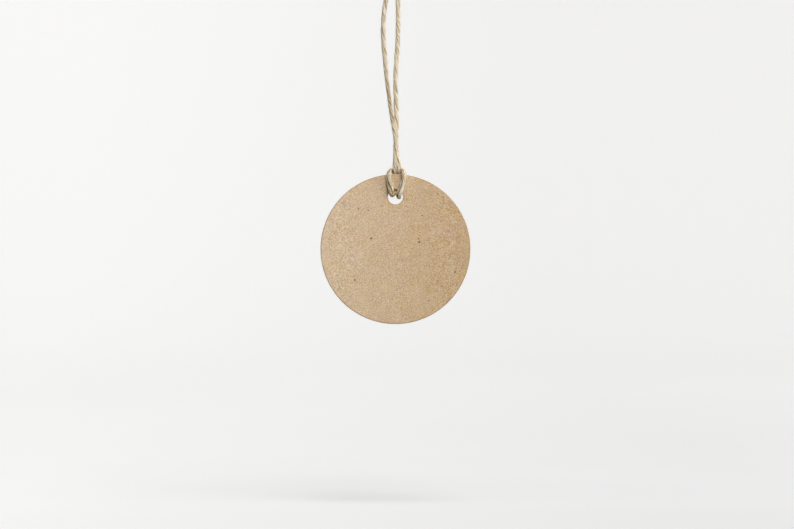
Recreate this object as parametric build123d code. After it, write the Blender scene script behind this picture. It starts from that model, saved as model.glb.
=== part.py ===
from build123d import *
import math
import os

# A round kraft-board gift tag hung by a doubled twine.
# The origin is the middle of the twine's end knot. The card hangs below it, in -Z, and its front faces -Y.

# Card, a die-cut disc with one punched hole near its top edge.
card_diameter = 50.0
card_thickness = 0.6
card_edge_round = 0.1  # the rubbed rims left by the cutting die
hole_diameter = 5.0
hole_to_edge = 5.05  # the board left between the hole and the card's top edge
cut_overrun = 1.0

# Twine, two soft plies that make one round cord.
twine_diameter = 1.6
corner_run_share = 0.45  # how much of the shorter run each bend of the twine takes up

# End knot, the left end wound twice round the right one and tucked up under its own wraps.
knot_core_diameter = 3.6
knot_core_height = 4.4
knot_core_round = 0.5
knot_wrap_diameter = 4.5  # across the centre line of one wrap
knot_wrap_pitch = 1.45  # the wraps press into each other
knot_wrap_tilt = 6.0  # degrees off level

# Room left where the twine bends or turns.
swing_clearance = 0.15
swivel_clearance = 0.1
flap_clearance = 0.15

# The two legs, from inside the knot down to where they cling together.
leg_left_route = [
    (-0.85, 0.0, -2.0),
    (-0.9, 0.0, -6.0),
    (-1.75, 0.1, -11.5),
    (-3.3, 0.2, -17.0),
    (-4.1, 0.1, -24.0),
    (-4.05, -0.1, -31.0),
    (-3.3, -0.3, -38.0),
    (-2.7, -0.45, -44.5),
    (-1.75, -0.6, -51.0),
    (-1.0, -0.8, -56.5),
    (-0.3, -0.87, -60.0),
    (-0.25, -0.85, -62.5),
]
leg_right_route = [
    (0.85, 0.0, -2.0),
    (0.9, 0.0, -6.0),
    (1.05, -0.1, -11.5),
    (0.85, -0.2, -17.5),
    (0.9, -0.2, -24.5),
    (0.75, -0.1, -31.5),
    (0.3, 0.1, -38.0),
    (-0.05, 0.3, -44.5),
    (0.15, 0.5, -51.0),
    (0.35, 0.75, -56.5),
    (0.3, 0.87, -60.0),
    (0.25, 0.85, -62.5),
]

# The neck, where the legs turn from front and back to side by side. Heights are above the flap axis.
neck_left_route = [
    (-0.25, -0.85, 7.5),
    (-0.25, -0.85, 6.2),
    (-0.42, -0.62, 4.0),
    (-0.35, 0.0, 1.7),
    (-0.35, 0.0, 0.0),
]
neck_right_route = [
    (0.25, 0.85, 7.5),
    (0.25, 0.85, 6.2),
    (0.98, 0.72, 4.0),
    (1.4, 0.0, 1.7),
    (1.4, 0.0, 0.0),
]

# The lark's head hitch: down the back, out through the hole, up the front, over the top edge and round
# behind both legs, then the same way back. Heights are above the card's top edge.
hitch_route = [
    (-0.35, 0.0, 4.05),
    (-0.35, 0.15, 2.9),
    (-0.4, 1.05, 1.0),
    (-0.45, 1.27, -0.8),
    (-0.7, 1.27, -2.8),
    (-0.95, 1.27, -4.5),
    (-1.0, 1.27, -6.0),
    (-1.02, 0.0, -6.75),
    (-1.05, -1.27, -6.0),
    (-1.4, -1.27, -4.5),
    (-1.95, -1.27, -2.9),
    (-2.25, -1.27, -1.1),
    (-2.35, -1.1, 0.8),
    (-2.3, 0.4, 1.55),
    (-1.9, 2.0, 1.4),
    (-0.5, 3.05, 1.15),
    (1.4, 3.05, 1.1),
    (2.85, 2.1, 1.3),
    (3.2, 0.45, 1.6),
    (3.1, -1.05, 0.95),
    (2.9, -1.27, -1.0),
    (2.5, -1.27, -3.0),
    (1.75, -1.27, -4.9),
    (1.25, -1.27, -6.45),
    (1.1, 0.0, -7.2),
    (1.0, 1.27, -6.45),
    (1.0, 1.27, -4.95),
    (1.15, 1.27, -3.0),
    (1.4, 1.27, -0.8),
    (1.4, 1.05, 1.0),
    (1.4, 0.15, 2.9),
    (1.4, 0.0, 4.05),
]

# The two cut ends that stand out of the knot.
tail_left_route = [
    (-0.85, 0.0, 1.2),
    (-1.0, -0.1, 4.2),
    (-2.1, -0.5, 7.8),
    (-4.4, -1.0, 10.8),
    (-7.2, -1.3, 12.4),
]
tail_right_route = [
    (0.85, 0.0, 1.2),
    (0.9, 0.1, 4.4),
    (1.5, 0.6, 8.6),
    (3.0, 1.3, 12.4),
    (5.3, 1.8, 15.0),
]

# Places that follow from the sizes and routes above.
card_radius = card_diameter / 2
hole_radius = hole_diameter / 2
twine_radius = twine_diameter / 2
knot_wrap_radius = knot_wrap_diameter / 2
knot_reach = math.hypot(knot_wrap_radius, knot_wrap_pitch) + twine_radius
swivel_z = leg_left_route[-1][2] - swivel_clearance
flap_z = swivel_z - neck_left_route[0][2]
hitch_top_z = flap_z - twine_radius - flap_clearance
card_top_z = hitch_top_z - hitch_route[0][2]
card_centre_z = card_top_z - card_radius
hole_centre_z = card_top_z - hole_to_edge - hole_radius


def lowered(route, height):
    return [Vector(x, y, z + height) for x, y, z in route]


def corner_radii(points):
    radii = []
    for before, corner, after in zip(points, points[1:], points[2:]):
        run_in = corner - before
        run_out = after - corner
        half_turn = math.radians(run_in.get_angle(run_out)) / 2
        shorter_run = min(run_in.length, run_out.length)
        radii.append(corner_run_share * shorter_run / math.tan(half_turn))
    return radii


def twine_tube(name, points):
    radii = corner_radii(points)
    path = FilletPolyline(*points, radius=radii)
    section = Plane(origin=path @ 0, z_dir=path % 0) * Circle(twine_radius)
    tube = sweep(section, path=path)
    section_times_length = math.pi * twine_radius**2 * path.length
    print(name, "radii", [round(radius, 1) for radius in radii], "length", round(path.length, 2))
    print(name, "volume over section times length", round(tube.volume / section_times_length, 4))
    return tube


def disc_along_y(radius, depth, height):
    return Pos(0, 0, height) * Rot(90, 0, 0) * Cylinder(radius, depth)


def make_card():
    disc = disc_along_y(card_radius, card_thickness, card_centre_z)
    punch = disc_along_y(hole_radius, card_thickness + 2 * cut_overrun, hole_centre_z)
    card = disc - punch
    return fillet(card.edges().filter_by(GeomType.CIRCLE), card_edge_round)


def make_knot():
    core = Cylinder(knot_core_diameter / 2, knot_core_height)
    knot = fillet(core.edges().filter_by(GeomType.CIRCLE), knot_core_round)
    ring = Torus(knot_wrap_radius, twine_radius)
    for place in (-1, 0, 1):
        knot += Rot(0, knot_wrap_tilt, 0) * Pos(0, 0, place * knot_wrap_pitch) * ring
    return knot


def make_leg(name, route):
    knot_room = Sphere(knot_reach + swing_clearance)
    return twine_tube(name, lowered(route, 0)) - knot_room


def make_neck(name, route):
    points = lowered(route, flap_z)
    round_end = Pos(points[-1]) * Sphere(twine_radius)
    return twine_tube(name, points) + round_end


parts = {
    "tag_card": make_card(),
    "twine_hitch": twine_tube("twine_hitch", lowered(hitch_route, card_top_z)),
    "neck_left": make_neck("neck_left", neck_left_route),
    "neck_right": make_neck("neck_right", neck_right_route),
    "leg_left": make_leg("leg_left", leg_left_route),
    "leg_right": make_leg("leg_right", leg_right_route),
    "end_knot": make_knot(),
    "tail_left": twine_tube("tail_left", lowered(tail_left_route, 0)),
    "tail_right": twine_tube("tail_right", lowered(tail_right_route, 0)),
}

print("flap axis", round(flap_z, 3), "card top", round(card_top_z, 3), "hole centre", round(hole_centre_z, 3))
os.makedirs("parts", exist_ok=True)
for name, part in parts.items():
    export_step(part, f"parts/{name}.step")
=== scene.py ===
import math

import bmesh
import bpy
import numpy as np
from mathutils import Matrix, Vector, noise


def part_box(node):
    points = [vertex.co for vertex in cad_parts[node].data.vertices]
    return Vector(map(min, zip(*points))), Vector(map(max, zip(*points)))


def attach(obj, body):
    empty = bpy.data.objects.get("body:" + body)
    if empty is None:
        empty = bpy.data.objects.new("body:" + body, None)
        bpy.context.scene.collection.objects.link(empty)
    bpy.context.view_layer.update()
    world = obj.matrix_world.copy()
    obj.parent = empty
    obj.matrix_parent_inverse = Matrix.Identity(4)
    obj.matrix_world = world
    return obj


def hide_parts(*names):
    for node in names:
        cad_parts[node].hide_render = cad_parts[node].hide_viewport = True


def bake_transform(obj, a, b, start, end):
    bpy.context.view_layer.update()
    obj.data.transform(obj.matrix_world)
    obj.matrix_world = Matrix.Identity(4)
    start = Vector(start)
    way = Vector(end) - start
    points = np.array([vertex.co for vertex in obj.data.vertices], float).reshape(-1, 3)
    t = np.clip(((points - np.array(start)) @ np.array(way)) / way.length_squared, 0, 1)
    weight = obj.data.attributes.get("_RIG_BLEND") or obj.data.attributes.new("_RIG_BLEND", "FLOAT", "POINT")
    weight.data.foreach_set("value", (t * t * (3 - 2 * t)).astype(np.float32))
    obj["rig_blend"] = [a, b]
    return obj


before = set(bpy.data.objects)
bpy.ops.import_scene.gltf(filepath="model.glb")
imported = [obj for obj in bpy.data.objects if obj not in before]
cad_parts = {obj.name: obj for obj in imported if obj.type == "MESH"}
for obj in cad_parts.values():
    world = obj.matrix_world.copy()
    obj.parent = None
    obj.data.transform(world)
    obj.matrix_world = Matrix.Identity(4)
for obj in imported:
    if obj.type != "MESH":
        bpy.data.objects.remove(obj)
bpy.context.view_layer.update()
mm = 0.001
fullTurn = 2 * math.pi
print("frame loaded:", len(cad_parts), "nodes")

# The photograph looks straight at the card, so the camera stands level in front of it.
cameraSettings = {
    "distance": 0.9,  # metres from the card
    "pixelsPerMetre": 2998.8,  # at the card
    "pictureWidth": 794,
    "sensor": 36.0,
    "centre": (0.52 * mm, -105.23 * mm),  # the picture's middle, sideways and up
}


def makeCamera():
    size = cameraSettings
    data = bpy.data.cameras.new("photoCamera")
    data.sensor_width = size["sensor"]
    data.lens = size["sensor"] * size["distance"] * size["pixelsPerMetre"] / size["pictureWidth"]
    camera = bpy.data.objects.new("photoCamera", data)
    camera.location = (size["centre"][0], -size["distance"], size["centre"][1])
    camera.rotation_euler = (math.pi / 2, 0, 0)
    bpy.context.collection.objects.link(camera)
    bpy.context.scene.camera = camera


makeCamera()
bpy.context.scene.view_settings.view_transform = "Standard"
print("camera set")


# Small helpers for node trees.
def plug(tree, value, socket):
    if isinstance(value, bpy.types.NodeSocket):
        tree.links.new(value, socket)
    else:
        socket.default_value = value


def addNode(tree, kind, values=None, **properties):
    node = tree.nodes.new(kind)
    for name, value in properties.items():
        setattr(node, name, value)
    for key, value in (values or {}).items():
        plug(tree, value, node.inputs[key])
    return node


def outputOf(tree, kind, values=None, **properties):
    return addNode(tree, kind, values, **properties).outputs[0]


def calc(tree, operation, *values):
    return outputOf(tree, "ShaderNodeMath", dict(enumerate(values)), operation=operation)


def product(tree, total, *factors):
    for factor in factors:
        total = calc(tree, "MULTIPLY", total, factor)
    return total


def vectorCalc(tree, operation, *values):
    return outputOf(tree, "ShaderNodeVectorMath", dict(enumerate(values)), operation=operation)


def scaled(tree, vector, factor):
    return outputOf(tree, "ShaderNodeVectorMath", {"Vector": vector, "Scale": factor}, operation="SCALE")


def mapped(tree, value, ends, **properties):
    (low, lowTo), (high, highTo) = ends
    values = {"Value": value, "From Min": low, "From Max": high, "To Min": lowTo, "To Max": highTo}
    return outputOf(tree, "ShaderNodeMapRange", values, **properties)


def whiteNoise(tree, number):
    return outputOf(tree, "ShaderNodeTexWhiteNoise", {"W": number}, noise_dimensions="1D")


def newSockets(tree, inOut, sockets):
    for name, kind in sockets:
        tree.interface.new_socket(name, in_out=inOut, socket_type="NodeSocket" + kind)


def newMaskGroup(name, numbers, output):
    group = bpy.data.node_groups.new(name, "ShaderNodeTree")
    newSockets(group, "INPUT", [("Place", "Vector"), *[(number, "Float") for number in numbers]])
    newSockets(group, "OUTPUT", [(output, "Float")])
    return group, group.nodes.new("NodeGroupInput").outputs


def newShapeTree(name, settings):
    tree = bpy.data.node_groups.new(name, "GeometryNodeTree")
    sizes = [(key, "Int" if isinstance(value, int) else "Float") for key, value in settings.items()]
    newSockets(tree, "INPUT", [("Geometry", "Geometry"), *sizes, ("Finish", "Material")])
    newSockets(tree, "OUTPUT", [("Geometry", "Geometry")])
    return tree, tree.nodes.new("NodeGroupInput").outputs


def endTree(tree, result):
    tree.links.new(result, tree.nodes.new("NodeGroupOutput").inputs[0])


def endShapeTree(tree, shape, finish):
    shape = outputOf(tree, "GeometryNodeRealizeInstances", {"Geometry": shape})
    shape = outputOf(tree, "GeometryNodeSetMaterial", {"Geometry": shape, "Material": finish})
    endTree(tree, shape)


def setInputs(modifier, values):
    for item in modifier.node_group.interface.items_tree:
        if item.item_type == "SOCKET" and item.in_out == "INPUT" and item.name in values:
            modifier[item.identifier] = values[item.name]


def plainMesh(holder):
    depsgraph = bpy.context.evaluated_depsgraph_get()
    return bpy.data.meshes.new_from_object(holder.evaluated_get(depsgraph), depsgraph=depsgraph)


def newObject(name, data):
    holder = bpy.data.objects.new(name, data)
    bpy.context.collection.objects.link(holder)
    return holder


# Fibres seen as streaks or specks, for board and twine alike.
grainSettings = {"detail": 2.0, "roughness": 0.6}


def makeFibreGrain():
    group, given = newMaskGroup("fibreGrain", ["Size", "Stretch", "Turn"], "Grain")
    values = {"Vector": given["Place"], "Angle": given["Turn"]}
    turned = outputOf(group, "ShaderNodeVectorRotate", values, rotation_type="Y_AXIS")
    across = calc(group, "DIVIDE", 1.0, given["Size"])
    lengthways = calc(group, "DIVIDE", across, given["Stretch"])
    stretch = outputOf(group, "ShaderNodeCombineXYZ", {"X": lengthways, "Y": across, "Z": across})
    place = vectorCalc(group, "MULTIPLY", turned, stretch)
    values = {"Detail": grainSettings["detail"], "Roughness": grainSettings["roughness"]}
    endTree(group, outputOf(group, "ShaderNodeTexNoise", {"Vector": place, "Scale": 1.0, **values}))
    return group


# Sparse specks of bark and stalk, in the chosen share of all cells.
fleckSettings = {"leastShare": 0.5}  # of the asked reach, for the smallest fleck


def makeFleckSpots():
    group, given = newMaskGroup("fleckSpots", ["Cell", "Share", "Reach"], "Mask")
    scale = calc(group, "DIVIDE", 1.0, given["Cell"])
    cells = addNode(group, "ShaderNodeTexVoronoi", {"Vector": given["Place"], "Scale": scale})
    chance = addNode(group, "ShaderNodeSeparateColor", {"Color": cells.outputs["Color"]})
    chosen = calc(group, "LESS_THAN", chance.outputs[0], given["Share"])
    away = product(group, cells.outputs["Distance"], given["Cell"])
    reach = product(group, given["Reach"], calc(group, "ADD", chance.outputs[1], fleckSettings["leastShare"]))
    near = mapped(group, away, [(reach, 0.0), (0.0, 1.0)])
    endTree(group, product(group, near, chosen))
    return group


fibreGrain = makeFibreGrain()
fleckSpots = makeFleckSpots()


def grainOf(tree, place, size, stretch, turn=0.0):
    values = {"Place": place, "Size": size, "Stretch": stretch, "Turn": turn}
    return outputOf(tree, "ShaderNodeGroup", values, node_tree=fibreGrain)


def flecksOf(tree, place, cell, share, reach, strength):
    values = {"Place": place, "Cell": cell, "Share": share, "Reach": reach}
    return product(tree, outputOf(tree, "ShaderNodeGroup", values, node_tree=fleckSpots), strength)


def newFinish(name, roughness, specular):
    finish = bpy.data.materials.new(name)
    finish.use_nodes = True
    shader = finish.node_tree.nodes["Principled BSDF"]
    shader.inputs["Roughness"].default_value = roughness
    shader.inputs["Specular IOR Level"].default_value = specular
    return finish, finish.node_tree, shader


def mixColour(tree, share, first, second):
    values = {0: share, 6: first, 7: second}  # the node's sockets for colours
    return addNode(tree, "ShaderNodeMix", values, data_type="RGBA").outputs[2]


def addBump(tree, shader, height, strength, distance):
    bump = addNode(tree, "ShaderNodeBump", {"Strength": strength, "Distance": distance, "Height": height})
    tree.links.new(bump.outputs[0], shader.inputs["Normal"])


def summed(tree, total, terms):
    for value, weight in terms:  # each value counts from its middle
        total = calc(tree, "MULTIPLY_ADD", calc(tree, "SUBTRACT", value, 0.5), weight, total)
    return total


# The twine's route, in millimetres: one length from the left tail's tip, through the knot,
# down the left leg, through the hitch, up the right leg and through the knot again to the right tail's tip.
legLeftRoute = [
    (-0.9, 0.0, -6.0),
    (-1.75, 0.1, -11.5),
    (-3.3, 0.2, -17.0),
    (-4.1, 0.1, -24.0),
    (-4.05, -0.1, -31.0),
    (-3.3, -0.3, -38.0),
    (-2.78, -0.45, -44.5),
    (-1.9, -0.6, -51.0),
    (-1.1, -0.8, -56.5),
    (-0.48, -0.87, -60.0),
    (0.0, -0.85, -62.5),
]
legRightRoute = [
    (0.9, 0.0, -6.0),
    (1.05, -0.1, -11.5),
    (0.85, -0.2, -17.5),
    (0.9, -0.2, -24.5),
    (0.75, -0.1, -31.5),
    (0.3, 0.1, -38.0),
    (-0.05, 0.3, -44.5),
    (0.2, 0.5, -51.0),
    (0.35, 0.75, -56.5),
    (0.3, 0.87, -60.0),
    (0.24, 0.85, -62.5),
]
neckLeftRoute = [
    (0.06, -0.84, -64.6),
    (0.08, -0.78, -66.8),
    (-0.06, -0.62, -68.6),
    (-0.2, -0.5, -70.2),
]
neckRightRoute = [
    (0.2, 0.84, -64.6),
    (0.36, 0.78, -66.8),
    (0.56, 0.62, -68.6),
    (0.88, 0.32, -70.2),
]
cardTop = -75.1
hitchRoute = [  # heights above the card's top edge
    (-0.3, -0.5, 3.5),
    (-0.26, -0.5, 2.3),
    (-0.16, -0.15, 1.3),
    (-0.1, 0.45, 0.55),
    (-0.1, 1.1, 0.0),
    (-0.25, 1.2, -1.0),
    (-0.45, 1.12, -2.6),
    (-0.45, 1.12, -4.5),
    (-0.5, 1.1, -6.15),
    (-1.2, 0.0, -6.95),
    (-1.42, -1.08, -6.2),
    (-1.6, -1.08, -4.5),
    (-2.1, -1.08, -2.9),
    (-2.3, -1.1, -1.1),
    (-2.2, -1.1, 0.35),
    (-1.7, 0.05, 1.2),
    (-1.35, 1.6, 1.15),
    (-0.35, 2.5, 1.0),
    (1.1, 2.6, 0.6),
    (2.05, 2.1, 0.62),
    (2.5, 0.75, 1.4),
    (2.85, -0.75, 1.1),
    (2.98, -1.12, -0.5),
    (2.6, -1.08, -2.9),
    (1.85, -1.08, -4.9),
    (1.25, -1.08, -6.6),
    (1.0, 0.0, -7.6),
    (0.65, 1.12, -6.4),
    (0.7, 1.12, -4.95),
    (1.0, 1.12, -2.6),
    (1.2, 1.2, -1.0),
    (1.2, 1.1, 0.0),
    (1.18, 0.45, 0.55),
    (1.18, -0.15, 1.3),
    (1.14, -0.5, 2.3),
    (1.06, -0.4, 3.5),
]
tailLeftRoute = [(-1.0, -0.3, 4.4), (-2.1, -0.5, 7.8), (-4.4, -1.0, 10.8), (-7.2, -1.3, 12.4)]
tailRightRoute = [(0.9, 0.1, 4.4), (1.5, 0.6, 8.6), (3.0, 1.3, 12.4), (5.3, 1.8, 15.0)]

# The knot: the left end goes up beside the right one, twice round both, and up again under its own wraps.
knotSettings = {
    "riseRoute": [(-0.75, 0.4, -3.6), (-0.48, 0.76, -1.8), (-0.44, 0.76, 0.3), (-0.6, 0.82, 1.8)],
    "overTheTop": [(150, 1.5, 2.6), (188, 2.2, 2.2)],  # degrees round the knot, out from its middle, height
    "wrapsFrom": 222,
    "wrapsTo": 912,
    "wrapTop": 1.5,
    "wrapBottom": -1.45,
    "wrapReach": 2.3,
    "wrapPoints": 24,
    "underTheEnd": [(935, 1.9, -2.1), (955, 1.2, -2.4)],
    "tuckRoute": [(-0.42, -0.78, -1.3), (-0.42, -0.8, 0.4), (-0.4, -0.85, 2.2)],
    "straightRoute": [(0.9, 0.0, -2.2), (0.88, 0.0, 0.2), (0.88, 0.05, 2.4)],
}


def roundTheKnot(degrees, reach, height):
    angle = math.radians(degrees)
    return (reach * math.cos(angle), reach * math.sin(angle), height)


def knotLeftRoute():
    size = knotSettings
    wraps = []
    for step in range(size["wrapPoints"]):
        share = step / (size["wrapPoints"] - 1)
        degrees = size["wrapsFrom"] + share * (size["wrapsTo"] - size["wrapsFrom"])
        height = size["wrapTop"] + share * (size["wrapBottom"] - size["wrapTop"])
        wraps.append(roundTheKnot(degrees, size["wrapReach"], height))
    over = [roundTheKnot(*point) for point in size["overTheTop"]]
    under = [roundTheKnot(*point) for point in size["underTheEnd"]]
    return size["riseRoute"] + over + wraps + under + size["tuckRoute"]


def twineRoute():
    leftDown = (knotLeftRoute() + tailLeftRoute)[::-1] + legLeftRoute + neckLeftRoute
    throughHole = [(x, y, z + cardTop) for x, y, z in hitchRoute]
    rightUp = neckRightRoute[::-1] + legRightRoute[::-1] + knotSettings["straightRoute"] + tailRightRoute
    return [Vector(point) * mm for point in leftDown + throughHole + rightUp]


splineSettings = {"order": 3, "steps": 16}  # steps from one point of the route to the next


def nurbsLine(name, points):
    curve = bpy.data.curves.new(name, "CURVE")
    curve.dimensions = "3D"
    curve.resolution_u = splineSettings["steps"]
    spline = curve.splines.new("NURBS")
    spline.points.add(len(points) - 1)
    for point, place in zip(spline.points, points):
        point.co = (*place, 1.0)
    spline.order_u = splineSettings["order"]
    spline.use_endpoint_u = True
    holder = newObject(name, curve)
    line = plainMesh(holder)
    bpy.data.objects.remove(holder)
    return line


twineLine = nurbsLine("twineLine", twineRoute())
linePoints = np.array([vertex.co for vertex in twineLine.vertices])
lineAlong = np.concatenate([[0], np.cumsum(np.linalg.norm(np.diff(linePoints, axis=0), axis=1))])
print("twine route:", len(linePoints), "points,", round(lineAlong[-1] / mm, 1), "mm long")

# How the two plies turn round each other, and where they open out and lie side by side on the card.
laySettings = {
    "turn": -11.0 * mm,  # laid to the left
    "wander": 2.0,  # radians
    "wanderSize": 8 * mm,
    "wanderSeed": (0.3, 0.7),
    "holeDepth": 4,  # mm below the card's top edge, past which the twine changes sides only in the hole
    "mendReach": 8 * mm,  # to each side of the twine's middle, where one arm's angle passes into the other's
    # For each front arm, in mm past the hole: how far open the plies are, how much of their turning is lost,
    # where one ply stands in front of the other by a known angle in degrees, how much paler one ply is
    # painted than the other, as painted light and shade between the plies, and how much darker both are
    # painted, as painted shade where the strand behind the card shows through the hole and where the loop
    # passes behind the legs.
    "arms": [
        {
            "open": [(-2.5, 0), (0, 0.25), (2, 0.45), (3.5, 0.6), (6, 0.4), (9.5, 0.1), (11, 0)],
            "still": [(-2.5, 0), (4.8, 0), (6, 0.85), (9.5, 0.85), (11.5, 0)],
            "fixedAt": 2.9,
            "turned": 0,
            "plyLightAndShade": [(-1, 0), (0, -0.2), (2, -0.16), (3.3, 0.1), (4.6, 0.1), (6, 0)],
            "toneAndShade": [
                (-3.6, 0), (-2.4, -0.28), (-1.2, -0.3), (0, -0.1), (4, -0.13), (5.5, -0.06), (7.4, -0.06),
                (8.2, -0.34), (9.4, -0.3), (10.6, 0),
            ],
        },
        {
            "open": [(-12, 0), (-8.5, 0.15), (-6, 0.45), (-3.5, 0.75), (0, 0.65), (2.5, 0)],
            "still": [(-12, 0), (-9.5, 0.65), (-5, 0.7), (-3, 0.82), (1, 0.82), (3.5, 0)],
            "fixedAt": -5.0,
            "turned": 50,
            "plyLightAndShade": [(-7, 0), (-5, 0.15), (0, 0.15), (1, 0)],
            "toneAndShade": [(-5, 0), (-3, -0.12), (0.5, -0.12), (2, 0)],
        },
    ],
    # For the left leg and the right one, by depth below the knot in mm: how thick the twine is and how much
    # darker it is painted, as painted shadow of the right leg on the left one.
    "legs": [
        {
            "girth": [(40, 1), (46, 0.84), (55, 0.82), (60, 0.93), (64, 0.9), (70, 0.85), (73, 0.9), (75, 1)],
            "toneAndShade": [(38, 0), (46, -0.14), (57, -0.2), (61, 0)],
        },
        {"girth": [(60, 1), (66, 0.9), (70, 0.85), (73, 0.9), (75, 1)], "toneAndShade": [(0, 0)]},
    ],
}


def byDistance(start, pairs):
    places = [start + away * mm for away, amount in pairs]
    return np.interp(lineAlong, places, [amount for away, amount in pairs])


def carriedNormals(tangents):
    normals = np.zeros_like(tangents)
    normal = np.array((0.0, 1.0, 0.0))
    for index, tangent in enumerate(tangents):  # carried along with no turning of its own
        normal = normal - normal.dot(tangent) * tangent
        normal = normal / np.linalg.norm(normal)
        normals[index] = normal
    return normals


def planLay(line):
    size = laySettings
    steps = np.diff(linePoints, axis=0)
    tangents = np.vstack([steps, steps[-1:]])
    tangents = tangents / np.linalg.norm(tangents, axis=1)[:, None]
    normals = carriedNormals(tangents)
    below = np.nonzero(linePoints[:, 2] < (cardTop - size["holeDepth"]) * mm)[0]
    depth = linePoints[below, 1]
    passes = below[:-1][np.sign(depth[:-1]) != np.sign(depth[1:])]  # through the hole
    armStarts = [lineAlong[passes[0]], lineAlong[passes[-1]]]
    openness = np.zeros(len(lineAlong))
    plyLightAndShade = np.zeros(len(lineAlong))
    armShade = np.zeros(len(lineAlong))
    turning = np.ones(len(lineAlong))
    # Along each arm: painted shade on stretches in shadow, and painted light and shade between the plies.
    for start, arm in zip(armStarts, size["arms"]):
        openness += byDistance(start, arm["open"])
        plyLightAndShade += byDistance(start, arm["plyLightAndShade"])
        armShade += byDistance(start, arm["toneAndShade"])
        turning -= byDistance(start, arm["still"])
    lengths = np.concatenate([[0], np.linalg.norm(steps, axis=1)])
    angles = np.cumsum(lengths * turning) / size["turn"] * fullTurn
    wanderPlaces = [Vector((along / size["wanderSize"], *size["wanderSeed"])) for along in lineAlong]
    angles += [noise.noise(place) * size["wander"] for place in wanderPlaces]
    forward = np.array((0.0, -1.0, 0.0))
    mends = []  # the two plies are alike, so a quarter turn either way is enough
    for start, arm in zip(armStarts, size["arms"]):
        index = int(np.searchsorted(lineAlong, start + arm["fixedAt"] * mm))
        turned = math.radians(arm["turned"])
        beside = math.cos(turned) * np.cross(forward, tangents[index]) + math.sin(turned) * forward
        binormal = np.cross(tangents[index], normals[index])
        wanted = math.atan2(beside.dot(binormal), beside.dot(normals[index]))
        mends.append((wanted - angles[index] + math.pi / 2) % math.pi - math.pi / 2)
    middle = sum(armStarts) / 2
    angles += np.interp(lineAlong, [middle - size["mendReach"], middle + size["mendReach"]], mends)
    kept = {"layAngle": angles, "openness": openness, "plyLightAndShade": plyLightAndShade}
    depths = -linePoints[:, 2] / mm
    for name in ("girth", "toneAndShade"):
        left, right = [np.interp(depths, *zip(*leg[name])) for leg in size["legs"]]
        kept[name] = np.where(lineAlong < middle, left, right)
    kept["toneAndShade"] = kept["toneAndShade"] + armShade
    for name, values in kept.items():
        line.attributes.new(name, "FLOAT", "POINT").data.foreach_set("value", values)
    line.attributes.new("layNormal", "FLOAT_VECTOR", "POINT").data.foreach_set("vector", normals.ravel())


planLay(twineLine)

# Two plies, each a bundle of fibre strands round a core.
twineSettings = {
    "Step": 0.25 * mm,
    "Ply Count": 2,
    "Strand Count": 10,  # in one ply, the last of them its core
    "Lay Radius": 0.34 * mm,
    "Opening": 0.30 * mm,  # how much further apart the plies lie where they are open
    "Open Width": 0.7,  # and how much wider and flatter each is there
    "Open Flatness": -0.12,
    "Strand Reach Out": 0.29 * mm,
    "Strand Reach Round": 0.50 * mm,
    "Strand Turn": -14.0 * mm,
    "Strand Thickness": 0.165 * mm,
    "Core Thickness": 0.34 * mm,
    "Strand Wander": 1.1,  # radians
    "Wander Size": 2.6 * mm,
    "Unevenness": 0.28,
    "Unevenness Size": 5 * mm,
    "Unevenness Seed": 3.7,
    "Slub": 0.7,  # how much the thickness of a strand changes
    "Slub Size": 1.7 * mm,
    "Ring Corners": 6,  # of a strand's section
    "Fray Length": 3.2 * mm,
    "Fray Spread": 1.3,
    "Fray Shift": 1.1 * mm,
    "Fray Thinning": -0.45,
    "Seed": 11.0,
    "Seed Step": 17.3,  # from one strand to the next
}


def softNoise(tree, along, size, seed):
    place = calc(tree, "ADD", calc(tree, "DIVIDE", along, size), seed)
    values = {"W": place, "Scale": 1.0, "Detail": 1.0}
    return calc(tree, "SUBTRACT", outputOf(tree, "ShaderNodeTexNoise", values, noise_dimensions="1D"), 0.5)


def namedValue(tree, name, kind="FLOAT"):
    return outputOf(tree, "GeometryNodeInputNamedAttribute", {"Name": name}, data_type=kind)


def storeValue(tree, geometry, name, value, kind="FLOAT"):
    values = {"Geometry": geometry, "Name": name, "Value": value}
    return outputOf(tree, "GeometryNodeStoreNamedAttribute", values, data_type=kind, domain="POINT")


def onePlus(tree, value, weight):
    return calc(tree, "MULTIPLY_ADD", value, weight, 1.0)


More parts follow.
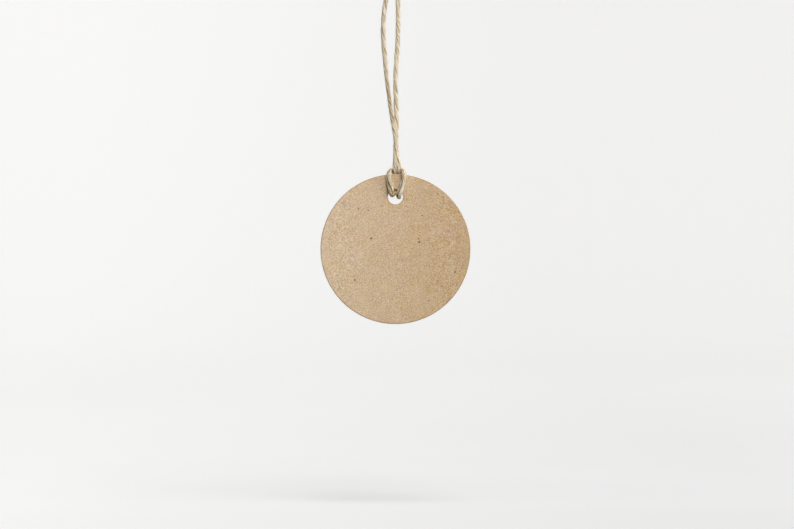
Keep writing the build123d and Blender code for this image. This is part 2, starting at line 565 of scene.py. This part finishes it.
def makeTwineTree():
    tree, given = newShapeTree("twineStrands", twineSettings)
    line = outputOf(tree, "GeometryNodeMeshToCurve", {"Mesh": given["Geometry"]})
    values = {"Curve": line, "Length": given["Step"]}
    line = outputOf(tree, "GeometryNodeResampleCurve", values, mode="LENGTH")
    along = addNode(tree, "GeometryNodeSplineParameter").outputs["Length"]
    line = storeValue(tree, line, "along", along)
    amount = product(tree, given["Ply Count"], given["Strand Count"])
    values = {"Geometry": line, "Amount": amount}
    copies = addNode(tree, "GeometryNodeDuplicateElements", values, domain="SPLINE")
    number = copies.outputs["Duplicate Index"]
    ply = calc(tree, "FLOOR", calc(tree, "DIVIDE", number, given["Strand Count"]))
    strand = calc(tree, "FLOORED_MODULO", number, given["Strand Count"])
    ringCount = calc(tree, "SUBTRACT", given["Strand Count"], 1.0)
    isCore = calc(tree, "GREATER_THAN", strand, calc(tree, "SUBTRACT", ringCount, 0.5))
    inRing = calc(tree, "SUBTRACT", 1.0, isCore)
    ownSeed = calc(tree, "MULTIPLY_ADD", number, given["Seed Step"], given["Seed"])

    # Where the ply lies round the twine, and the strand round the ply.
    plyStart = product(tree, calc(tree, "DIVIDE", ply, given["Ply Count"]), fullTurn)
    plyAngle = calc(tree, "ADD", plyStart, namedValue(tree, "layAngle"))
    openness = namedValue(tree, "openness")
    plyOut = calc(tree, "MULTIPLY_ADD", openness, given["Opening"], given["Lay Radius"])
    strandStart = product(tree, calc(tree, "DIVIDE", strand, ringCount), fullTurn)
    turnAngle = product(tree, calc(tree, "DIVIDE", along, given["Strand Turn"]), fullTurn)
    drift = product(tree, softNoise(tree, along, given["Wander Size"], ownSeed), given["Strand Wander"])
    strandAngle = calc(tree, "ADD", calc(tree, "ADD", strandStart, turnAngle), drift)
    swell = softNoise(tree, along, given["Unevenness Size"], given["Unevenness Seed"])
    girth = namedValue(tree, "girth")
    swell = product(tree, onePlus(tree, swell, given["Unevenness"]), girth)

    # The two cut ends open up and their strands end at different lengths.
    total = addNode(tree, "GeometryNodeSplineLength").outputs["Length"]
    fromEnd = calc(tree, "MINIMUM", along, calc(tree, "SUBTRACT", total, along))
    fray = mapped(tree, fromEnd, [(given["Fray Length"], 0.0), (0.0, 1.0)], interpolation_type="SMOOTHSTEP")
    spread = product(tree, swell, onePlus(tree, fray, given["Fray Spread"]))

    # How far the strand lies out from the middle line and beside it.
    widening = onePlus(tree, openness, given["Open Width"])
    reachOut = product(tree, given["Strand Reach Out"], calc(tree, "COSINE", strandAngle), inRing, widening)
    outwards = product(tree, calc(tree, "ADD", plyOut, reachOut), spread)
    flattening = onePlus(tree, openness, given["Open Flatness"])
    reachRound = product(tree, given["Strand Reach Round"], calc(tree, "SINE", strandAngle), flattening)
    sideways = product(tree, reachRound, inRing, spread)
    cosine = calc(tree, "COSINE", plyAngle)
    sine = calc(tree, "SINE", plyAngle)
    alongNormal = calc(tree, "SUBTRACT", product(tree, cosine, outwards), product(tree, sine, sideways))
    alongBinormal = calc(tree, "ADD", product(tree, sine, outwards), product(tree, cosine, sideways))
    tangent = outputOf(tree, "GeometryNodeInputTangent")
    normal = namedValue(tree, "layNormal", "FLOAT_VECTOR")
    binormal = vectorCalc(tree, "CROSS_PRODUCT", tangent, normal)
    offset = vectorCalc(tree, "ADD", scaled(tree, normal, alongNormal), scaled(tree, binormal, alongBinormal))
    chance = calc(tree, "SUBTRACT", whiteNoise(tree, ownSeed), 0.5)
    shift = product(tree, chance, product(tree, fray, given["Fray Shift"]))
    offset = vectorCalc(tree, "ADD", offset, scaled(tree, tangent, shift))
    squares = [calc(tree, "POWER", value, 2.0) for value in (outwards, sideways)]
    reach = calc(tree, "SQRT", calc(tree, "ADD", *squares))

    laid = storeValue(tree, copies.outputs[0], "strand", number)
    laid = storeValue(tree, laid, "crown", calc(tree, "DIVIDE", reach, given["Lay Radius"]))
    laid = storeValue(tree, laid, "lie", tangent, "FLOAT_VECTOR")
    laid = outputOf(tree, "GeometryNodeSetPosition", {"Geometry": laid, "Offset": offset})
    ringThickness = product(tree, given["Strand Thickness"], inRing)
    coreThickness = product(tree, given["Core Thickness"], isCore)
    slub = onePlus(tree, softNoise(tree, along, given["Slub Size"], ownSeed), given["Slub"])
    thinning = onePlus(tree, fray, given["Fray Thinning"])
    thickness = product(tree, calc(tree, "ADD", ringThickness, coreThickness), slub, thinning, girth)
    values = {"Resolution": given["Ring Corners"], "Radius": 1.0}
    ring = outputOf(tree, "GeometryNodeCurvePrimitiveCircle", values)
    around = addNode(tree, "GeometryNodeSplineParameter").outputs["Factor"]
    ring = storeValue(tree, ring, "around", around)
    values = {"Curve": laid, "Profile Curve": ring, "Scale": thickness, "Fill Caps": True}
    tubes = outputOf(tree, "GeometryNodeCurveToMesh", values)
    tubes = outputOf(tree, "GeometryNodeSetShadeSmooth", {"Geometry": tubes})
    endShapeTree(tree, tubes, given["Finish"])
    return tree


# Twine finish: pale straw fibres, with painted shade in the grooves.
twineFinishSettings = {
    "roughness": 0.85,
    "specular": 0.1,
    # painted shade in the grooves
    "paintedGrooveShade": (0.17, 0.115, 0.038, 1),
    "dark": (0.37, 0.275, 0.135, 1),
    "middle": (0.76, 0.665, 0.49, 1),
    "pale": (0.85, 0.825, 0.79, 1),
    "speck": (0.16, 0.11, 0.05, 1),
    "darkAt": 0.15,  # tones at which these colours stand
    "middleAt": 0.52,
    "paleAt": 0.9,
    "aroundStep": 1.2,  # how far the grain moves on once round a strand, and from strand to strand
    "strandStep": 3.7,
    "streaks": (0.09, 12.0),  # size in mm, stretch
    "patches": (1.1, 4.0),
    "toneWeights": (1.1, 0.9, 0.35),  # of the streaks, the patches and the strand's own tint
    "grooveToCrown": [(0.5, 0.0), (1.5, 1.0)],  # distance from the middle line in lay radii, over which the painted groove shade gives way to the fibre's colour
    "specks": (1.6, 0.12, 0.22, 0.75),  # cell in mm, share of the cells, reach in mm, strength
    "bump": (0.5, 0.05 * mm),  # strength, depth
}


def attributeOf(tree, name):
    return addNode(tree, "ShaderNodeAttribute", attribute_name=name).outputs["Fac"]


def makeTwineFinish():
    look = twineFinishSettings
    finish, tree, shader = newFinish("twineFibre", look["roughness"], look["specular"])
    strand = attributeOf(tree, "strand")
    sides = {
        "X": calc(tree, "DIVIDE", attributeOf(tree, "along"), mm),
        "Y": product(tree, attributeOf(tree, "around"), look["aroundStep"]),
        "Z": product(tree, strand, look["strandStep"]),
    }
    place = outputOf(tree, "ShaderNodeCombineXYZ", sides)
    streaks = grainOf(tree, place, *look["streaks"])
    patches = grainOf(tree, place, *look["patches"])
    ownTint = whiteNoise(tree, strand)
    toneAndShade = summed(tree, look["middleAt"], zip((streaks, patches, ownTint), look["toneWeights"]))
    # The stored tone is painted shade on stretches of twine that lie in shadow.
    toneAndShade = calc(tree, "ADD", toneAndShade, attributeOf(tree, "toneAndShade"))
    plySign = calc(tree, "SIGN", calc(tree, "SUBTRACT", strand, twineSettings["Strand Count"] - 0.5))
    # One ply painted lighter and the other darker, as painted light and shade between them.
    toneAndShade = calc(tree, "MULTIPLY_ADD", attributeOf(tree, "plyLightAndShade"), plySign, toneAndShade)
    ramp = addNode(tree, "ShaderNodeValToRGB", {"Fac": toneAndShade})
    stops = ramp.color_ramp.elements
    stops[0].position = look["darkAt"]
    stops[0].color = look["dark"]
    stops[1].position = look["paleAt"]
    stops[1].color = look["pale"]
    stops.new(look["middleAt"]).color = look["middle"]
    # Painted shade in the grooves between strands.
    crown = mapped(tree, attributeOf(tree, "crown"), look["grooveToCrown"])
    colour = mixColour(tree, crown, look["paintedGrooveShade"], ramp.outputs[0])
    colour = mixColour(tree, flecksOf(tree, place, *look["specks"]), colour, look["speck"])
    tree.links.new(colour, shader.inputs["Base Color"])
    addBump(tree, shader, streaks, *look["bump"])
    return finish


twineFinish = makeTwineFinish()


def makeTwine():
    holder = newObject("twineHolder", twineLine)
    modifier = holder.modifiers.new("twineStrands", "NODES")
    modifier.node_group = makeTwineTree()
    setInputs(modifier, {**twineSettings, "Finish": twineFinish})
    whole = plainMesh(holder)
    bpy.data.objects.remove(holder)
    return whole


wholeTwine = makeTwine()
print("twine strands:", len(wholeTwine.polygons), "faces")

# The twine is cut where all of it follows one body, so that each piece bends across one joint.
cutSettings = {
    "belowKnot": -13.5 * mm,
    "aboveHitch": -65.5 * mm,
    "swingBend": (-2.4 * mm, -6.4 * mm),  # where the legs bend below the knot
    "swivelBend": (-14.5 * mm, -64.5 * mm),  # where they wind round each other
    "flapBend": (-66.5 * mm, -72.2 * mm),  # where they bend above the hitch
}


def alongAt(height, last=False):
    below = np.nonzero(linePoints[:, 2] < height)[0]
    return lineAlong[below[-1] if last else below[0]]


def cutPiece(name, spans):
    shape = bmesh.new()
    shape.from_mesh(wholeTwine)
    layer = shape.verts.layers.float["along"]
    spare = []
    for face in shape.faces:
        middle = sum(vert[layer] for vert in face.verts) / len(face.verts)
        if not any(low <= middle <= high for low, high in spans):
            spare.append(face)
    bmesh.ops.delete(shape, geom=spare, context="FACES")
    openEdges = [edge for edge in shape.edges if edge.is_boundary]
    caps = bmesh.ops.holes_fill(shape, edges=openEdges, sides=0)["faces"]
    for cap in caps:
        cap.smooth = False
    bmesh.ops.recalc_face_normals(shape, faces=shape.faces)
    mesh = bpy.data.meshes.new(name)
    shape.to_mesh(mesh)
    shape.free()
    mesh.materials.append(twineFinish)
    return newObject(name, mesh)


twineEnd = lineAlong[-1]
leftTop = alongAt(cutSettings["belowKnot"])
leftFoot = alongAt(cutSettings["aboveHitch"])
rightFoot = alongAt(cutSettings["aboveHitch"], last=True)
rightTop = alongAt(cutSettings["belowKnot"], last=True)
endKnot = cutPiece("twineKnot", [(0, leftTop), (rightTop, twineEnd)])
legLeft = cutPiece("twineLegLeft", [(leftTop, leftFoot)])
legRight = cutPiece("twineLegRight", [(rightFoot, rightTop)])
hitch = cutPiece("twineHitch", [(leftFoot, rightFoot)])

# A few loose fibres stand off the twine.
fuzzSettings = {
    "Fibre Length": 1.1 * mm,
    "Fibre Thickness": 0.014 * mm,
    "Lift": 0.32 * mm,
    "Density": 0.9e6,  # to the square metre
    "Least Turn": -0.7,  # radians, away from the lie of the strand
    "Most Turn": 0.7,
    "Least Size": 0.5,
    "Most Size": 1.5,
    "Tip Aside": 0.4,  # as a share of half the length
    "Tip Thinning": -0.7,
    "Arc Points": 5,
    "Section Corners": 3,
    "Crown": 2.0,  # no fibre gets the painted shade of a groove
    "Seed": 0,  # each piece has its own
}
fuzzSeeds = {"twineKnot": 3, "twineLegLeft": 5, "twineLegRight": 8, "twineHitch": 13}


def randomBetween(tree, low, high, seed):
    values = {2: low, 3: high, "Seed": seed}  # the node's sockets for plain numbers
    return addNode(tree, "FunctionNodeRandomValue", values, data_type="FLOAT").outputs[1]


def makeLooseFibre(tree, given):
    half = product(tree, given["Fibre Length"], 0.5)
    middle = outputOf(tree, "ShaderNodeCombineXYZ", {"X": half, "Z": given["Lift"]})
    aside = product(tree, half, given["Tip Aside"])
    values = {"X": given["Fibre Length"], "Y": aside, "Z": given["Lift"]}
    tip = outputOf(tree, "ShaderNodeCombineXYZ", values)
    values = {"Resolution": given["Arc Points"], "Start": (0, 0, 0), "Middle": middle, "End": tip}
    arc = outputOf(tree, "GeometryNodeCurveQuadraticBezier", values)
    factor = addNode(tree, "GeometryNodeSplineParameter").outputs["Factor"]
    taper = product(tree, given["Fibre Thickness"], onePlus(tree, factor, given["Tip Thinning"]))
    values = {"Resolution": given["Section Corners"], "Radius": 1.0}
    section = outputOf(tree, "GeometryNodeCurvePrimitiveCircle", values)
    values = {"Curve": arc, "Profile Curve": section, "Scale": taper, "Fill Caps": True}
    return outputOf(tree, "GeometryNodeCurveToMesh", values)


def makeFuzzTree():
    tree, given = newShapeTree("looseFibres", fuzzSettings)
    values = {"Mesh": given["Geometry"], "Density": given["Density"], "Seed": given["Seed"]}
    spots = addNode(tree, "GeometryNodeDistributePointsOnFaces", values, distribute_method="RANDOM")
    lie = namedValue(tree, "lie", "FLOAT_VECTOR")
    values = {"Primary Axis": spots.outputs["Normal"], "Secondary Axis": lie}
    facing = outputOf(tree, "FunctionNodeAxesToRotation", values, primary_axis="Z", secondary_axis="X")
    turn = randomBetween(tree, given["Least Turn"], given["Most Turn"], given["Seed"])
    spin = outputOf(tree, "FunctionNodeAxisAngleToRotation", {"Axis": (0, 0, 1), "Angle": turn})
    values = {"Rotation": facing, "Rotate By": spin}
    facing = outputOf(tree, "FunctionNodeRotateRotation", values, rotation_space="LOCAL")
    size = randomBetween(tree, given["Least Size"], given["Most Size"], given["Seed"])
    fibre = makeLooseFibre(tree, given)
    values = {"Points": spots.outputs[0], "Instance": fibre, "Rotation": facing, "Scale": size}
    fibres = outputOf(tree, "GeometryNodeInstanceOnPoints", values)
    fibres = outputOf(tree, "GeometryNodeRealizeInstances", {"Geometry": fibres})
    fibres = storeValue(tree, fibres, "crown", given["Crown"])
    both = addNode(tree, "GeometryNodeJoinGeometry")
    tree.links.new(fibres, both.inputs[0])
    tree.links.new(given["Geometry"], both.inputs[0])
    endShapeTree(tree, both.outputs[0], given["Finish"])
    return tree


def addFuzz(piece, tree):
    modifier = piece.modifiers.new("looseFibres", "NODES")
    modifier.node_group = tree
    setInputs(modifier, {**fuzzSettings, "Seed": fuzzSeeds[piece.name], "Finish": twineFinish})
    mesh = plainMesh(piece)
    piece.modifiers.remove(modifier)
    piece.data = mesh
    print(piece.name, "has", len(mesh.polygons), "faces")


fuzzTree = makeFuzzTree()
for piece in (endKnot, legLeft, legRight, hitch):
    addFuzz(piece, fuzzTree)


def bendAcross(piece, upper, lower, span):
    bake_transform(piece, upper, lower, start=(0, 0, span[0]), end=(0, 0, span[1]))


bendAcross(endKnot, "hanger", "legs", cutSettings["swingBend"])
bendAcross(legLeft, "legs", "neck", cutSettings["swivelBend"])
bendAcross(legRight, "legs", "neck", cutSettings["swivelBend"])
bendAcross(hitch, "neck", "tag", cutSettings["flapBend"])
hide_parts("end_knot", "tail_left", "tail_right")
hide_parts("leg_left", "neck_left")
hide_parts("leg_right", "neck_right")
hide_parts("twine_hitch")


print("twine pieces bend across their joints")

# The card: a die-cut disc with one punched hole.
cardSettings = {
    "holeDrop": 7.55 * mm,  # the hole's middle below the top edge
    "holeRadius": 2.5 * mm,
    "spokes": 360,
    "faceRings": 30,
    "curl": 0.5 * mm,  # both sides lean forward by this much
    "cockle": 0.035 * mm,
    "cockleSize": 9 * mm,
    "cutRoughness": 0.02 * mm,
    "cutGrain": 0.5 * mm,
    "roughShare": 0.9,  # less deep than this share of half the thickness, the cut is rough
    "bareShare": 0.7,  # and less deep than this it shows the board's inside
    # From the front face over the cut to the back face: inset, depth as a share of half the thickness,
    # how much it is darkened, as wear and painted shade along the rim.
    "rim": [
        (0.55 * mm, -1.0, 0.0),
        (0.36 * mm, -0.99, 0.5),
        (0.2 * mm, -0.95, 1.0),
        (0.08 * mm, -0.86, 1.0),
        (0.02 * mm, -0.72, 1.0),
        (0.0, -0.5, 0.6),
        (0.012 * mm, 0.0, 0.2),
        (0.0, 0.55, 0.2),
        (0.01 * mm, 0.88, 0.5),
        (0.05 * mm, 1.0, 0.5),
        (0.25 * mm, 1.0, 0.0),
    ],
}


def cardLean(x, cardRadius):
    return -cardSettings["curl"] * (x / cardRadius) ** 2


def makeCardMesh():
    size = cardSettings
    low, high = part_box("tag_card")
    centre = (low + high) / 2
    cardRadius = (high.x - low.x) / 2
    halfThick = (high.y - low.y) / 2
    holeHeight = cardRadius - size["holeDrop"]  # above the card's middle
    angles = np.arange(size["spokes"]) * fullTurn / size["spokes"]
    side, up = np.sin(angles), np.cos(angles)

    def edgeDistance(inset):
        reach = cardRadius - inset
        return -holeHeight * up + np.sqrt(reach**2 - (holeHeight * side) ** 2)

    # One closed skin: through the hole to the back, out over the back, round the edge and in over the front.
    loops = []  # distance out from the hole's middle, depth share, darkened as wear and painted shade
    firstInset = size["rim"][0][0]
    lastInset = size["rim"][-1][0]
    shares = np.arange(1, size["faceRings"]) / size["faceRings"]
    for inset, depth, rimWearAndShade in size["rim"]:
        loops.append((np.full(size["spokes"], size["holeRadius"] + inset), depth, rimWearAndShade))
    for share in shares:
        inner = size["holeRadius"] + lastInset
        loops.append((inner + share * (edgeDistance(lastInset) - inner), 1.0, 0.0))
    for inset, depth, rimWearAndShade in size["rim"][::-1]:
        loops.append((edgeDistance(inset), depth, rimWearAndShade))
    for share in shares[::-1]:
        inner = size["holeRadius"] + firstInset
        loops.append((inner + share * (edgeDistance(firstInset) - inner), -1.0, 0.0))

    places, cutMarks, rimWearAndShadeMarks = [], [], []
    for reach, depth, rimWearAndShade in loops:
        isRough = abs(depth) < size["roughShare"]
        isBare = abs(depth) < size["bareShare"]
        for out, sideways, upwards in zip(reach, side, up):
            if isRough:
                spot = Vector((sideways * out, depth * halfThick, upwards * out)) / size["cutGrain"]
                out = out + noise.noise(spot) * size["cutRoughness"]
            x, z = sideways * out, holeHeight + upwards * out
            lean = cardLean(x, cardRadius)
            ripple = noise.noise(Vector((x, 0, z)) / size["cockleSize"]) * size["cockle"]
            places.append((centre.x + x, centre.y + depth * halfThick + lean + ripple, centre.z + z))
            cutMarks.append(float(isBare))
            rimWearAndShadeMarks.append(rimWearAndShade)
    count, spokes = len(loops), size["spokes"]
    faces = []
    for loop in range(count):
        after = (loop + 1) % count
        for spoke in range(spokes):
            beside = (spoke + 1) % spokes
            here = (loop * spokes + spoke, loop * spokes + beside)
            there = (after * spokes + beside, after * spokes + spoke)
            faces.append(here + there)
    mesh = bpy.data.meshes.new("tagCard")
    mesh.from_pydata(places, [], faces)
    mesh.attributes.new("cutEdge", "FLOAT", "POINT").data.foreach_set("value", cutMarks)
    mesh.attributes.new("rimWearAndShade", "FLOAT", "POINT").data.foreach_set("value", rimWearAndShadeMarks)
    shape = bmesh.new()
    shape.from_mesh(mesh)
    bmesh.ops.recalc_face_normals(shape, faces=shape.faces)
    for face in shape.faces:
        face.smooth = True
    shape.to_mesh(mesh)
    shape.free()
    return mesh, centre, cardRadius, halfThick


# Kraft finish: brown fibre board with fine grain, soft mottling and a few dark flecks.
kraftSettings = {
    "roughness": 0.86,
    "specular": 0.2,
    "colour": (0.566, 0.424, 0.277),
    "fleckColour": (0.17, 0.095, 0.04, 1),
    "paleFibre": (0.78, 0.66, 0.50, 1),
    # Grains: size in mm, stretch, turn.
    "grains": {
        "speckle": (0.37, 1.0, 0.4),
        "leftFibres": (0.28, 5.0, 0.7),
        "rightFibres": (0.28, 5.0, -0.8),
        "mottle": (3.2, 1.4, 0.3),
        "rosy": (1.5, 1.0, 1.1),
        "straw": (0.9, 1.0, 2.0),
        "warmth": (6.0, 1.0, 2.6),
    },
    # How much each grain counts in all three colours, in green and blue alone, and in the bump's height.
    "shade": {"speckle": 1.6, "leftFibres": 0.45, "rightFibres": 0.45, "mottle": 0.22},
    "shadeShares": (0.82, 1.07, 1.27),  # dark grains are browner and pale ones whiter
    "green": {"rosy": -0.15, "warmth": -0.08},
    "blue": {"straw": 0.45, "warmth": -0.35},
    "height": {"speckle": 0.6, "leftFibres": 0.4, "rightFibres": 0.4},
    "bump": (0.25, 0.03 * mm),  # strength, depth
    "paintedLightSlope": (0.05, 0.056, 0.058),  # painted light and shade: how much paler it is painted at the left edge, and darker at the right one
    # Small flecks: cell in mm, share of the cells, reach in mm, strength.
    "paleFlecks": (0.9, 0.25, 0.16, 0.5),
    "darkFlecks": (0.8, 0.13, 0.17, 0.45),
    "rareFlecks": (3.4, 0.2, 0.2, 0.8),
    # Dark flecks that stand out: sideways and up from the middle and reach, in mm.
    "flecks": [
        (-8.1, 3.6, 0.42),
        (7.9, 2.35, 0.44),
        (7.8, 3.5, 0.28),
        (-13.6, -10.35, 0.36),
        (19.85, -7.6, 0.36),
        (-12.35, 13.5, 0.32),
        (-9.1, 12.9, 0.32),
        (8.9, 11.2, 0.28),
        (11.1, -17.2, 0.28),
    ],
    "fleckCoreShare": 0.5,  # of the reach
    # Edges: mark on the mesh, strength, colour. The rim's mark is wear and painted shade along the rim; the
    # cut edge shows its paler raw board.
    "edges": [("rimWearAndShade", 0.6, (0.40, 0.275, 0.165, 1)), ("cutEdge", 0.7, (0.60, 0.45, 0.30, 1))],
}


def makeKraftFinish(centre, cardRadius, halfThick):
    look = kraftSettings
    finish, tree, shader = newFinish("kraftBoard", look["roughness"], look["specular"])
    objectPlace = addNode(tree, "ShaderNodeTexCoord").outputs["Object"]
    place = scaled(tree, vectorCalc(tree, "SUBTRACT", objectPlace, tuple(centre)), 1 / mm)
    grains = {name: grainOf(tree, place, *values) for name, values in look["grains"].items()}

    def weighted(start, part):
        return summed(tree, start, [(grains[name], weight) for name, weight in look[part].items()])

    shade = weighted(0.0, "shade")
    red, green, blue = [onePlus(tree, shade, share) for share in look["shadeShares"]]
    channels = {"X": red, "Y": weighted(green, "green"), "Z": weighted(blue, "blue")}
    colour = vectorCalc(tree, "MULTIPLY", look["colour"], outputOf(tree, "ShaderNodeCombineXYZ", channels))
    sideways = addNode(tree, "ShaderNodeSeparateXYZ", {"Vector": place}).outputs["X"]
    # Painted light towards the left edge and painted shade towards the right one.
    paintedLightSlope = scaled(tree, look["paintedLightSlope"], product(tree, sideways, -mm / cardRadius))
    colour = vectorCalc(tree, "ADD", colour, paintedLightSlope)
    colour = mixColour(tree, flecksOf(tree, place, *look["paleFlecks"]), colour, look["paleFibre"])
    rareMask = flecksOf(tree, place, *look["rareFlecks"])
    fleckMask = calc(tree, "MAXIMUM", flecksOf(tree, place, *look["darkFlecks"]), rareMask)
    for x, z, reach in look["flecks"]:
        spot = (x, (cardLean(x * mm, cardRadius) - halfThick) / mm, z)
        ends = [(reach, 0.0), (reach * look["fleckCoreShare"], 1.0)]
        distance = addNode(tree, "ShaderNodeVectorMath", {0: place, 1: spot}, operation="DISTANCE")
        fleckMask = calc(tree, "MAXIMUM", fleckMask, mapped(tree, distance.outputs["Value"], ends))
    colour = mixColour(tree, fleckMask, colour, look["fleckColour"])
    # The rim's mark darkens it as wear and painted shade; the cut edge's mark paints its paler raw board.
    for mark, strength, tint in look["edges"]:
        colour = mixColour(tree, product(tree, attributeOf(tree, mark), strength), colour, tint)
    tree.links.new(colour, shader.inputs["Base Color"])
    addBump(tree, shader, weighted(0.5, "height"), *look["bump"])
    return finish


cardMesh, *cardMeasures = makeCardMesh()
card = newObject("tagCard", cardMesh)
cardMesh.materials.append(makeKraftFinish(*cardMeasures))
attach(card, "tag")
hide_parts("tag_card")
print("card:", len(cardMesh.polygons), "faces")

# Pale studio, in metres: a round floor that sweeps up into a wall, and soft light from the right.
studioSettings = {
    "floorHeight": -188 * mm,
    "flatRadius": 1.3,
    "flatShares": (0.3, 0.7, 1.0),  # where the flat part has rings
    "sweepRadius": 0.7,
    "wallTop": 1.4,
    "segments": 96,
    "sweepSteps": 16,
    "roughness": 0.9,
    "specular": 0.1,
    "colour": (0.25, 0.215, 0.165, 1),
    "rearColour": (0.7, 0.67, 0.62, 1),  # sends light on to the back of the tag
    "rearFrom": [(0.1, 0.0), (0.7, 1.0)],  # distance behind the knot, how much of that
    "seenColour": (0.38, 0.38, 0.38, 1),  # what the eye sees, while the two above send light on
    # Distance from the knot, how much the paper glows to the eye there.
    "glow": [
        (0.19, 0.53),
        (0.25, 0.587),
        (0.33, 0.617),
        (0.56, 0.666),
        (0.9, 0.71),
        (1.4, 0.736),
        (2.0, 0.741),
    ],
    "glowReach": 2.4,
    "glowSide": [(-0.3, 0.035), (0.13, -0.03)],  # brighter on the left
    "floorSide": [(-0.14, 0.035), (0.14, -0.055)],  # more so near the tag
    "floorReach": [(0.9, 0.0), (0.2, 1.0)],  # distance from the knot, how much of that
    # The lamps light the floor in front of the tag and far to its right, so it glows less there.
    "glowFront": [(-0.5, -0.3), (0.03, 0.0)],
    "glowRight": [(0.43, 0.0), (1.3, -0.3)],
    "world": 0.04,  # even light from all round
    # Name, place, size, power.
    "lamps": [
        ("frontLamp", (0.52, -1.2, 0.85), 1.2, 19.8),
        ("sideLamp", (1.43, -0.46, 0.25), 1.5, 17.5),
        ("topLamp", (0.06, -0.55, 0.75), 0.3, 3.3),
    ],
    "aim": (0, 0, -0.08),
    # A narrow lamp behind the tag, for its back and its right edges.
    "rearLamp": {
        "place": (0.9, 1.3, 0.6),
        "aim": (0, 0, -0.05),
        "cone": 9.0,  # degrees
        "blend": 0.6,
        "softness": 0.1,
        "power": 45.0,
    },
}


def makeStudioMesh():
    size = studioSettings
    profile = [(size["flatRadius"] * share, size["floorHeight"]) for share in size["flatShares"]]
    for step in range(1, size["sweepSteps"] + 1):
        angle = step / size["sweepSteps"] * math.pi / 2
        out = size["flatRadius"] + size["sweepRadius"] * math.sin(angle)
        up = size["floorHeight"] + size["sweepRadius"] * (1 - math.cos(angle))
        profile.append((out, up))
    profile.append((profile[-1][0], size["wallTop"]))
    shape = bmesh.new()
    rings = []
    for out, up in profile:
        ring = []
        for step in range(size["segments"]):
            angle = step / size["segments"] * fullTurn
            ring.append(shape.verts.new((out * math.sin(angle), out * math.cos(angle), up)))
        rings.append(ring)
    shape.faces.new(rings[0])
    for lower, upper in zip(rings, rings[1:]):
        for step in range(size["segments"]):
            beside = (step + 1) % size["segments"]
            shape.faces.new((lower[step], lower[beside], upper[beside], upper[step]))
    for face in shape.faces:
        face.smooth = True
    bmesh.ops.recalc_face_normals(shape, faces=shape.faces)
    mesh = bpy.data.meshes.new("studioFloor")
    shape.to_mesh(mesh)
    shape.free()
    return mesh


def makeStudioPaper():
    size = studioSettings
    finish, tree, shader = newFinish("studioPaper", size["roughness"], size["specular"])
    rays = addNode(tree, "ShaderNodeLightPath").outputs
    seen = calc(tree, "MAXIMUM", rays["Is Camera Ray"], rays["Is Glossy Ray"])
    seen = calc(tree, "MAXIMUM", seen, rays["Is Transmission Ray"])
    shader.inputs["Emission Color"].default_value = (1, 1, 1, 1)
    place = addNode(tree, "ShaderNodeTexCoord").outputs["Object"]
    sides = addNode(tree, "ShaderNodeSeparateXYZ", {"Vector": place}).outputs
    paper = mixColour(tree, mapped(tree, sides["Y"], size["rearFrom"]), size["colour"], size["rearColour"])
    tree.links.new(mixColour(tree, seen, paper, size["seenColour"]), shader.inputs["Base Color"])
    away = addNode(tree, "ShaderNodeVectorMath", {0: place}, operation="LENGTH").outputs["Value"]
    ramp = addNode(tree, "ShaderNodeValToRGB", {"Fac": calc(tree, "DIVIDE", away, size["glowReach"])})
    stops = ramp.color_ramp.elements
    ramp.color_ramp.interpolation = "CARDINAL"
    stops.remove(stops[1])
    for number, (distance, strength) in enumerate(size["glow"]):
        stop = stops[0] if number == 0 else stops.new(distance / size["glowReach"])
        stop.position = distance / size["glowReach"]
        stop.color = (strength, strength, strength, 1)
    near = mapped(tree, away, size["floorReach"])
    glow = calc(tree, "ADD", ramp.outputs[0], mapped(tree, sides["X"], size["glowSide"]))
    glow = calc(tree, "MULTIPLY_ADD", mapped(tree, sides["X"], size["floorSide"]), near, glow)
    glow = calc(tree, "ADD", glow, mapped(tree, sides["Y"], size["glowFront"]))
    glow = calc(tree, "ADD", glow, mapped(tree, sides["X"], size["glowRight"]))
    tree.links.new(calc(tree, "MULTIPLY", seen, glow), shader.inputs["Emission Strength"])
    return finish


def makeStudio():
    mesh = makeStudioMesh()
    mesh.materials.append(makeStudioPaper())
    floor = newObject("studioFloor", mesh)


def placeLamp(data, place, aim):
    lamp = newObject(data.name, data)
    lamp.location = place
    lamp.rotation_mode = "QUATERNION"
    lamp.rotation_quaternion = (Vector(aim) - Vector(place)).to_track_quat("-Z", "Y")
    lamp.visible_camera = False


def makeLamps():
    for name, place, width, power in studioSettings["lamps"]:
        data = bpy.data.lights.new(name, "AREA")
        data.shape = "DISK"
        data.size = width
        data.energy = power
        placeLamp(data, place, studioSettings["aim"])
    rear = studioSettings["rearLamp"]
    data = bpy.data.lights.new("rearLamp", "SPOT")
    data.spot_size = math.radians(rear["cone"])
    data.spot_blend = rear["blend"]
    data.shadow_soft_size = rear["softness"]
    data.energy = rear["power"]
    placeLamp(data, rear["place"], rear["aim"])
    world = bpy.data.worlds.new("studioWorld")
    world.use_nodes = True
    back = world.node_tree.nodes["Background"]
    back.inputs["Color"].default_value = (1, 1, 1, 1)
    back.inputs["Strength"].default_value = studioSettings["world"]
    bpy.context.scene.world = world


makeStudio()
makeLamps()
print("studio set")
